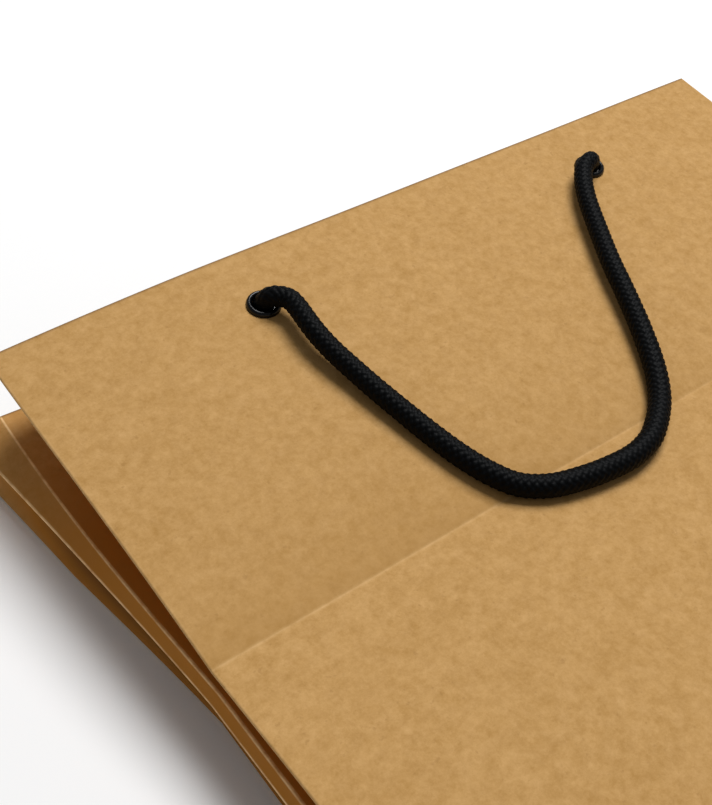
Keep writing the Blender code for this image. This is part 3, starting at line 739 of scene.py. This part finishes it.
def path_frames(path):
    """Two side vectors at each point of a path, square to it and carried along without twist."""
    tangent = np.gradient(path, axis=0)
    tangent /= np.linalg.norm(tangent, axis=1)[:, None]
    side = np.empty_like(path)
    start = np.cross(tangent[0], (1.0, 0.0, 0.0))
    side[0] = start / np.linalg.norm(start)
    for k in range(1, len(path)):
        carried = side[k - 1] - tangent[k] * (side[k - 1] @ tangent[k])
        side[k] = carried / np.linalg.norm(carried)
    return side, np.cross(tangent, side)


BRAID_STRANDS = 8
BRAID_PITCH = 0.0150
BRAID_RELIEF = 0.00050
BRAID_SEAT = 0.6
STRAND_NARROWING = 1.9
# The handle is thinner at its ends than at the bottom of its loop
ROPE_END_SHARE = 0.94
ROPE_SWELL = 0.12


def braid_height(around, along_rope):
    """Height from 0 to 1 of a braid of two sets of strands that cross over and under each other.

    around runs from 0 to 1 once round the rope. Each strand is a rounded ridge on its own helix, and
    at each crossing one ridge is raised by a cosine and the other lowered.
    """
    a = BRAID_STRANDS * (around + along_rope / BRAID_PITCH)
    b = BRAID_STRANDS * (around - along_rope / BRAID_PITCH)
    ka, kb = np.floor(a), np.floor(b)
    fa, fb = a - ka - 0.5, b - kb - 0.5
    sign = np.where((ka + kb) % 2 < 1, 1.0, -1.0)
    ridge_a = np.sqrt(np.clip(1 - (STRAND_NARROWING * fa) ** 2, 0, 1))
    ridge_b = np.sqrt(np.clip(1 - (STRAND_NARROWING * fb) ** 2, 0, 1))
    over_a = 0.5 * ridge_a + 0.5 * sign * np.cos(math.pi * fb)
    over_b = 0.5 * ridge_b - 0.5 * sign * np.cos(math.pi * fa)
    return np.maximum(np.maximum(over_a, over_b), 0)


def braided_tube(name, path, places, around, height, radius):
    """Tube round a path, closed at both ends, whose rings lie square to it.

    height and radius have a row for each point of the path and a column for each point round the ring.
    The UV map holds the place round the rope and the distance along it.
    """
    first, second = path_frames(path)
    angle = 2 * math.pi * around
    ring = first[:, None, :] * np.cos(angle)[..., None] + second[:, None, :] * np.sin(angle)[..., None]
    points = (path[:, None, :] + ring * radius[..., None]).reshape(-1, 3)
    rows, sides = radius.shape
    uv = np.stack(np.broadcast_arrays(around, places[:, None]), axis=-1).reshape(-1, 2)
    rings = (range(sides - 1, -1, -1), range((rows - 1) * sides, rows * sides))
    quads = grid_faces(rows, sides, closed=True)
    return make_mesh(name, points, quads, rings, uv=uv, weights={"relief": height})


def braided_rope(name, route, back, step, sides):
    """Rope handle: a tube along the route whose radius carries the braid's relief."""
    path, places = rope_path(route, back, step)
    around = np.linspace(0, 1, sides, endpoint=False)[None, :]
    height = braid_height(around, places[:, None])
    swell = ROPE_END_SHARE + ROPE_SWELL * np.sin(math.pi * places / places[-1])[:, None] ** 2
    radius = swell * (ROPE_DIAMETER / 2 - BRAID_SEAT * BRAID_RELIEF) + BRAID_RELIEF * height
    return braided_tube(name, path, places, around, height, radius), path


KNOT_TURNS = 2.0
KNOT_WRAP = KNOT_LENGTH / 2.6
KNOT_ROWS = 240
KNOT_SIDES = 40
KNOT_CLEARANCE = 0.0001
KNOT_RELIEF = 0.0002
# The wraps spread from the knot's axis over one part in KNOT_SPREAD of their length at each end
KNOT_SPREAD = 8
KNOT_TAPER = 0.02


def stopper_knot(name, side, back):
    """Two wraps of the rope wound in a helix round its own end, under the eyelet."""
    place = np.array(hem_frame(side, back))
    t = np.linspace(0, 1, KNOT_ROWS)
    angle = 2 * math.pi * KNOT_TURNS * t
    reach = KNOT_RADIUS - KNOT_WRAP / 2 - KNOT_CLEARANCE
    core = reach * ease(t * KNOT_SPREAD) * ease((1 - t) * KNOT_SPREAD)
    depth = -(KNOT_START + KNOT_WRAP / 2 + (KNOT_LENGTH - KNOT_WRAP) * t)
    path = np.stack([core * np.cos(angle), core * np.sin(angle), depth], axis=1)
    path = path @ place[:3, :3].T + place[:3, 3]
    places = np.concatenate([[0], np.cumsum(np.linalg.norm(np.diff(path, axis=0), axis=1))])
    around = np.linspace(0, 1, KNOT_SIDES, endpoint=False)[None, :]
    height = braid_height(around, places[:, None])
    taper = np.sqrt(np.clip(np.minimum(t, 1 - t) / KNOT_TAPER, KNOT_TAPER, 1))[:, None]
    radius = (KNOT_WRAP / 2 - KNOT_RELIEF + KNOT_RELIEF * height) * taper
    return braided_tube(name, path, places, around, height, radius)


# Materials


class Nodes:
    """Short way to add and link shader nodes in one material."""

    def __init__(self, name):
        self.material = bpy.data.materials.new(name)
        self.material.use_nodes = True
        self.tree = self.material.node_tree
        self.shader = self.tree.nodes["Principled BSDF"]

    def add(self, kind, **settings):
        """A new node with the settings given by name."""
        node = self.tree.nodes.new(kind)
        for key, value in settings.items():
            setattr(node, key, value)
        return node

    def link(self, source, target):
        """Joins an output to an input."""
        self.tree.links.new(source, target)

    def set(self, **inputs):
        """Plain values on the shader's own inputs, with underscores for the spaces in their names."""
        for key, value in inputs.items():
            self.shader.inputs[key.replace("_", " ")].default_value = value

    def coordinates(self):
        """Object coordinates, in metres in the part's own frame."""
        return self.add("ShaderNodeTexCoord").outputs["Object"]

    def attribute(self, name):
        """A number that the mesh holds for each point."""
        return self.add("ShaderNodeAttribute", attribute_name=name).outputs["Fac"]

    def noise(self, coordinates, scale, detail=3.0, roughness=0.5):
        """Cloudy pattern from about 0 to 1, with scale blotches to the metre."""
        node = self.add("ShaderNodeTexNoise")
        node.inputs["Scale"].default_value = scale
        node.inputs["Detail"].default_value = detail
        node.inputs["Roughness"].default_value = roughness
        self.link(coordinates, node.inputs["Vector"])
        return node.outputs["Fac"]

    def spread(self, value, low, high, to_low=0.0, to_high=1.0):
        """Carries the span from low to high onto the span from to_low to to_high, held at its ends."""
        node = self.add("ShaderNodeMapRange")
        for key, number in (("From Min", low), ("From Max", high), ("To Min", to_low), ("To Max", to_high)):
            node.inputs[key].default_value = number
        self.link(value, node.inputs["Value"])
        return node.outputs["Result"]

    def math(self, operation, first, second):
        """One operation on two numbers or outputs."""
        node = self.add("ShaderNodeMath", operation=operation)
        for slot, value in zip(node.inputs, (first, second)):
            if isinstance(value, (int, float)):
                slot.default_value = value
            else:
                self.link(value, slot)
        return node.outputs["Value"]

    def mix(self, factor, first, second):
        """Colour that goes from first to second as factor goes from 0 to 1."""
        node = self.add("ShaderNodeMix", data_type="RGBA")
        for slot, value in zip((node.inputs[0], node.inputs[6], node.inputs[7]), (factor, first, second)):
            if isinstance(value, (int, float)):
                slot.default_value = value
            elif isinstance(value, tuple):
                slot.default_value = (*value, 1.0)
            else:
                self.link(value, slot)
        return node.outputs[2]

    def bump(self, height, strength, distance):
        """Surface relief from a height, distance metres deep."""
        node = self.add("ShaderNodeBump")
        node.inputs["Strength"].default_value = strength
        node.inputs["Distance"].default_value = distance
        self.link(height, node.inputs["Height"])
        return node.outputs["Normal"]


KRAFT_DARK = (0.408, 0.216, 0.057)
KRAFT_LIGHT = (0.650, 0.390, 0.154)
# Pale colour of the folds and crease, used as wear and as painted highlight
KRAFT_WORN_AND_HIGHLIGHT = (0.950, 0.640, 0.320)
KRAFT_FIBRE = (0.300, 0.150, 0.040)
# Painted shade colours: the mouth's edge, then the side folds, lighter and deeper
KRAFT_RIM_SHADE = (0.150, 0.075, 0.030)
KRAFT_PAINTED_SHADE = (0.470, 0.185, 0.024)
KRAFT_PAINTED_DEEP_SHADE = (0.100, 0.034, 0.006)
CARD_DARK = (0.30, 0.17, 0.07)
CARD_LIGHT = (0.40, 0.24, 0.11)
LACQUER_BLACK = (0.002, 0.002, 0.0025, 1.0)
# Painted shade colour of the gaps between the rope's strands
CORD_GAP_SHADE = (0.0006, 0.0006, 0.0007)
CORD_STRAND = (0.0036, 0.0044, 0.0052)
CORD_FILAMENT = (0.0012, 0.0013, 0.0016)
FLOOR_COLOUR = (0.98, 0.98, 0.98, 1.0)
PLAIN_WHITE = (1, 1, 1, 1)

# How strongly each mark on the paper shows
SPECK_STRENGTH = 0.30
BAND_SHADE_STRENGTH = 0.5
WEAR_AND_HIGHLIGHT_STRENGTH = 0.9
LINE_STRENGTH = 0.25
RIM_SHADE_STRENGTH = 0.85


def kraft_paper():
    """Brown kraft: mottled from clouds down to grain, with sparse fibres.

    Folds and the crease are painted pale, as wear and as painted highlights where they catch the light. The
    side folds, a band above the crease and the mouth's edge get painted shade.
    """
    n = Nodes("kraft_paper_finish")
    place = n.coordinates()
    clouds_to_grain = n.noise(place, scale=320, detail=4.0, roughness=0.80)
    mottle = n.spread(clouds_to_grain, 0.0, 1.0, to_low=-0.30, to_high=1.24)
    cloud = n.spread(n.noise(place, scale=60, detail=2.0), 0.0, 1.0, to_low=-0.10, to_high=0.10)
    speck = n.spread(n.noise(place, scale=620, detail=2.0), 0.66, 0.76)
    colour = n.mix(n.math("ADD", mottle, cloud), KRAFT_DARK, KRAFT_LIGHT)
    colour = n.mix(n.math("MULTIPLY", speck, SPECK_STRENGTH), colour, KRAFT_FIBRE)
    # Painted shade above the crease, towards the paper's darker tone
    band = n.attribute("crease_painted_shade")
    colour = n.mix(n.math("MULTIPLY", band, BAND_SHADE_STRENGTH), colour, KRAFT_DARK)
    # Painted shade in the side folds: first a saturated brown, then a near black brown
    shade = n.attribute("fold_shade")
    colour = n.mix(n.spread(shade, 0.0, 0.5), colour, KRAFT_PAINTED_SHADE)
    colour = n.mix(n.spread(shade, 0.5, 1.0), colour, KRAFT_PAINTED_DEEP_SHADE)
    # Pale folds and crease: wear, and painted highlights where the edges catch the light
    wear_and_highlight = n.math("MULTIPLY", n.attribute("fold_wear_and_highlight"), WEAR_AND_HIGHLIGHT_STRENGTH)
    line = n.math("MULTIPLY", n.attribute("crease_line"), LINE_STRENGTH)
    broken = n.spread(n.noise(place, scale=260, roughness=0.6), 0.3, 0.6, to_low=0.35, to_high=1.0)
    pale = n.math("MULTIPLY", n.math("ADD", wear_and_highlight, line), broken)
    colour = n.mix(pale, colour, KRAFT_WORN_AND_HIGHLIGHT)
    # Painted shade on the mouth's edge
    edge = n.attribute("mouth_edge_shade")
    colour = n.mix(n.math("MULTIPLY", edge, RIM_SHADE_STRENGTH), colour, KRAFT_RIM_SHADE)
    n.link(colour, n.shader.inputs["Base Color"])
    rough = n.spread(n.noise(place, scale=300), 0.3, 0.7, to_low=0.76, to_high=0.9)
    n.link(rough, n.shader.inputs["Roughness"])
    n.set(Specular_IOR_Level=0.2)
    grain = n.noise(place, scale=1300, roughness=0.65)
    n.link(n.bump(grain, strength=0.14, distance=0.00012), n.shader.inputs["Normal"])
    return n.material


def grey_card():
    """Plain card strip behind the hem."""
    n = Nodes("card_finish")
    place = n.coordinates()
    colour = n.mix(n.noise(place, scale=300, detail=4.0), CARD_DARK, CARD_LIGHT)
    n.link(colour, n.shader.inputs["Base Color"])
    n.set(Roughness=0.9, Specular_IOR_Level=0.2)
    n.link(n.bump(n.noise(place, scale=1500), strength=0.2, distance=0.0001), n.shader.inputs["Normal"])
    return n.material


def glossy_black():
    """Black lacquer of the eyelets, with faint unevenness."""
    n = Nodes("eyelet_finish")
    rough = n.spread(n.noise(n.coordinates(), scale=700), 0.3, 0.7, to_low=0.12, to_high=0.24)
    n.link(rough, n.shader.inputs["Roughness"])
    n.set(Base_Color=LACQUER_BLACK, Specular_IOR_Level=0.28)
    return n.material


def black_cord():
    """Black braided cord: painted shade in the gaps between strands, and fine filaments with a faint sheen.
    """
    n = Nodes("rope_finish")
    filament = n.spread(n.noise(n.coordinates(), scale=2600, roughness=0.6), 0.3, 0.7)
    # Painted shade in the gaps between strands, from the braid's relief
    colour = n.mix(n.attribute("relief"), CORD_GAP_SHADE, CORD_STRAND)
    colour = n.mix(n.math("MULTIPLY", filament, 0.5), colour, CORD_FILAMENT)
    n.link(colour, n.shader.inputs["Base Color"])
    n.set(Roughness=0.48, Specular_IOR_Level=0.06)
    n.link(n.bump(filament, strength=0.3, distance=0.00008), n.shader.inputs["Normal"])
    return n.material


# Distances from the part's origin over which the floor turns plain white to the camera
FLOOR_WHITE_FROM = 0.22
FLOOR_WHITE_TO = 0.55


def white_floor():
    """White surface that keeps the bag's shadow and is plain white to the camera further out."""
    n = Nodes("floor_white")
    n.set(Base_Color=FLOOR_COLOUR, Roughness=1.0, Specular_IOR_Level=0.0)
    distance = n.add("ShaderNodeVectorMath", operation="LENGTH")
    n.link(n.coordinates(), distance.inputs["Vector"])
    far = n.spread(distance.outputs["Value"], FLOOR_WHITE_FROM, FLOOR_WHITE_TO)
    seen = n.add("ShaderNodeLightPath").outputs["Is Camera Ray"]
    plain = n.add("ShaderNodeEmission")
    plain.inputs["Color"].default_value = PLAIN_WHITE
    pick = n.add("ShaderNodeMixShader")
    n.link(n.math("MULTIPLY", far, seen), pick.inputs["Fac"])
    n.link(n.shader.outputs["BSDF"], pick.inputs[1])
    n.link(plain.outputs["Emission"], pick.inputs[2])
    n.link(pick.outputs["Shader"], n.tree.nodes["Material Output"].inputs["Surface"])
    return n.material


def give(obj, material):
    """Makes material the only one on an object."""
    obj.data.materials.clear()
    obj.data.materials.append(material)


# Camera, lights and floor


def place_camera():
    """The photograph's camera: its place, its line of sight and its roll about that line."""
    azimuth, elevation = math.radians(CAMERA_AZIMUTH), math.radians(CAMERA_ELEVATION)
    level = math.cos(elevation)
    back = Vector((math.sin(azimuth) * level, -math.cos(azimuth) * level, math.sin(elevation)))
    right = Vector((0, 0, 1)).cross(back).normalized()
    up = back.cross(right)
    turn = math.radians(CAMERA_ROLL)
    side = right * math.cos(turn) + up * math.sin(turn)
    top = up * math.cos(turn) - right * math.sin(turn)
    matrix = Matrix((side, top, back)).transposed().to_4x4()
    matrix.translation = Vector(CAMERA_EYE) + Vector(SHIFT)
    data = bpy.data.cameras.new("camera")
    data.sensor_width = SENSOR
    data.lens = SENSOR * FOCAL_PIXELS / IMAGE_HEIGHT
    data.clip_start = CAMERA_NEAR
    camera = bpy.data.objects.new("camera", data)
    camera.matrix_world = matrix
    bpy.context.scene.collection.objects.link(camera)
    bpy.context.scene.camera = camera


KEY_PLACE = (0.58, 0.40, 1.50)
KEY_TARGET = (0, 0.05, 0)
KEY_SIZE = 0.85
KEY_POWER = 26.4
SKY_LIGHT = 0.20


def hang_key_lamp():
    """One square soft lamp over the right of the mouth, pointed at the bag."""
    data = bpy.data.lights.new("key", "AREA")
    data.shape = "SQUARE"
    data.size = KEY_SIZE
    data.energy = KEY_POWER
    lamp = bpy.data.objects.new("key", data)
    lamp.location = KEY_PLACE
    direction = Vector(KEY_TARGET) - Vector(KEY_PLACE)
    lamp.rotation_euler = direction.to_track_quat("-Z", "Y").to_euler()
    bpy.context.scene.collection.objects.link(lamp)


def fill_studio():
    """A world of weak even light that looks plain white to the camera."""
    world = bpy.data.worlds.new("studio")
    bpy.context.scene.world = world
    world.use_nodes = True
    tree = world.node_tree
    tree.nodes.clear()
    output = tree.nodes.new("ShaderNodeOutputWorld")
    soft = tree.nodes.new("ShaderNodeBackground")
    soft.inputs["Color"].default_value = PLAIN_WHITE
    soft.inputs["Strength"].default_value = SKY_LIGHT
    white = tree.nodes.new("ShaderNodeBackground")
    white.inputs["Color"].default_value = PLAIN_WHITE
    rays = tree.nodes.new("ShaderNodeLightPath")
    pick = tree.nodes.new("ShaderNodeMixShader")
    tree.links.new(rays.outputs["Is Camera Ray"], pick.inputs["Fac"])
    tree.links.new(soft.outputs["Background"], pick.inputs[1])
    tree.links.new(white.outputs["Background"], pick.inputs[2])
    tree.links.new(pick.outputs["Shader"], output.inputs["Surface"])


FLOOR_REACH = 3.0
FLOOR_DROP = 0.0002


def lay_floor():
    """Square white surface just under the bag."""
    corners = np.array([[-1, -1, 0], [1, -1, 0], [1, 1, 0], [-1, 1, 0]]) * FLOOR_REACH
    corners[:, 2] = -FLOOR_DROP
    floor = make_mesh("floor", corners, np.array([[0, 1, 2, 3]]))
    give(floor, white_floor())


# Step along the rope and points round it: finer on the front handle, which the photograph shows
FRONT_ROPE_GRID = (0.00028, 64)
BACK_ROPE_GRID = (0.00045, 40)


def build():
    """Sets up the studio, dresses each node of the bag and tells the frame what each piece is."""
    bpy.context.scene.view_settings.view_transform = "Standard"
    place_camera()
    hang_key_lamp()
    fill_studio()
    lay_floor()

    paper, card, lacquer, cord = kraft_paper(), grey_card(), glossy_black(), black_cord()

    bag, flap = paper_bag(), bottom_flap()
    punch_holes(bag)
    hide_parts("paper_bag")
    for piece in (bag, flap):
        give(piece, paper)
        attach(piece, "root")

    for node in ("front_card", "back_card"):
        give(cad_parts[node], card)

    for face, back, route, grid in (
        ("front", False, FRONT_ROUTE, FRONT_ROPE_GRID),
        ("back", True, BACK_ROUTE, BACK_ROPE_GRID),
    ):
        for hand, side in (("left", -1), ("right", 1)):
            ring = eyelet(f"{face}_ring_{hand}", side, back)
            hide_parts(f"{face}_eyelet_{hand}")
            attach(ring, "root")
            give(ring, lacquer)
            knot = stopper_knot(f"{face}_stop_{hand}", side, back)
            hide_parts(f"{face}_knot_{hand}")
            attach(knot, "root")
            give(knot, cord)
        rope, path = braided_rope(f"{face}_handle", route, back, *grid)
        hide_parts(f"{face}_rope")
        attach(rope, "root")
        give(rope, cord)


build()
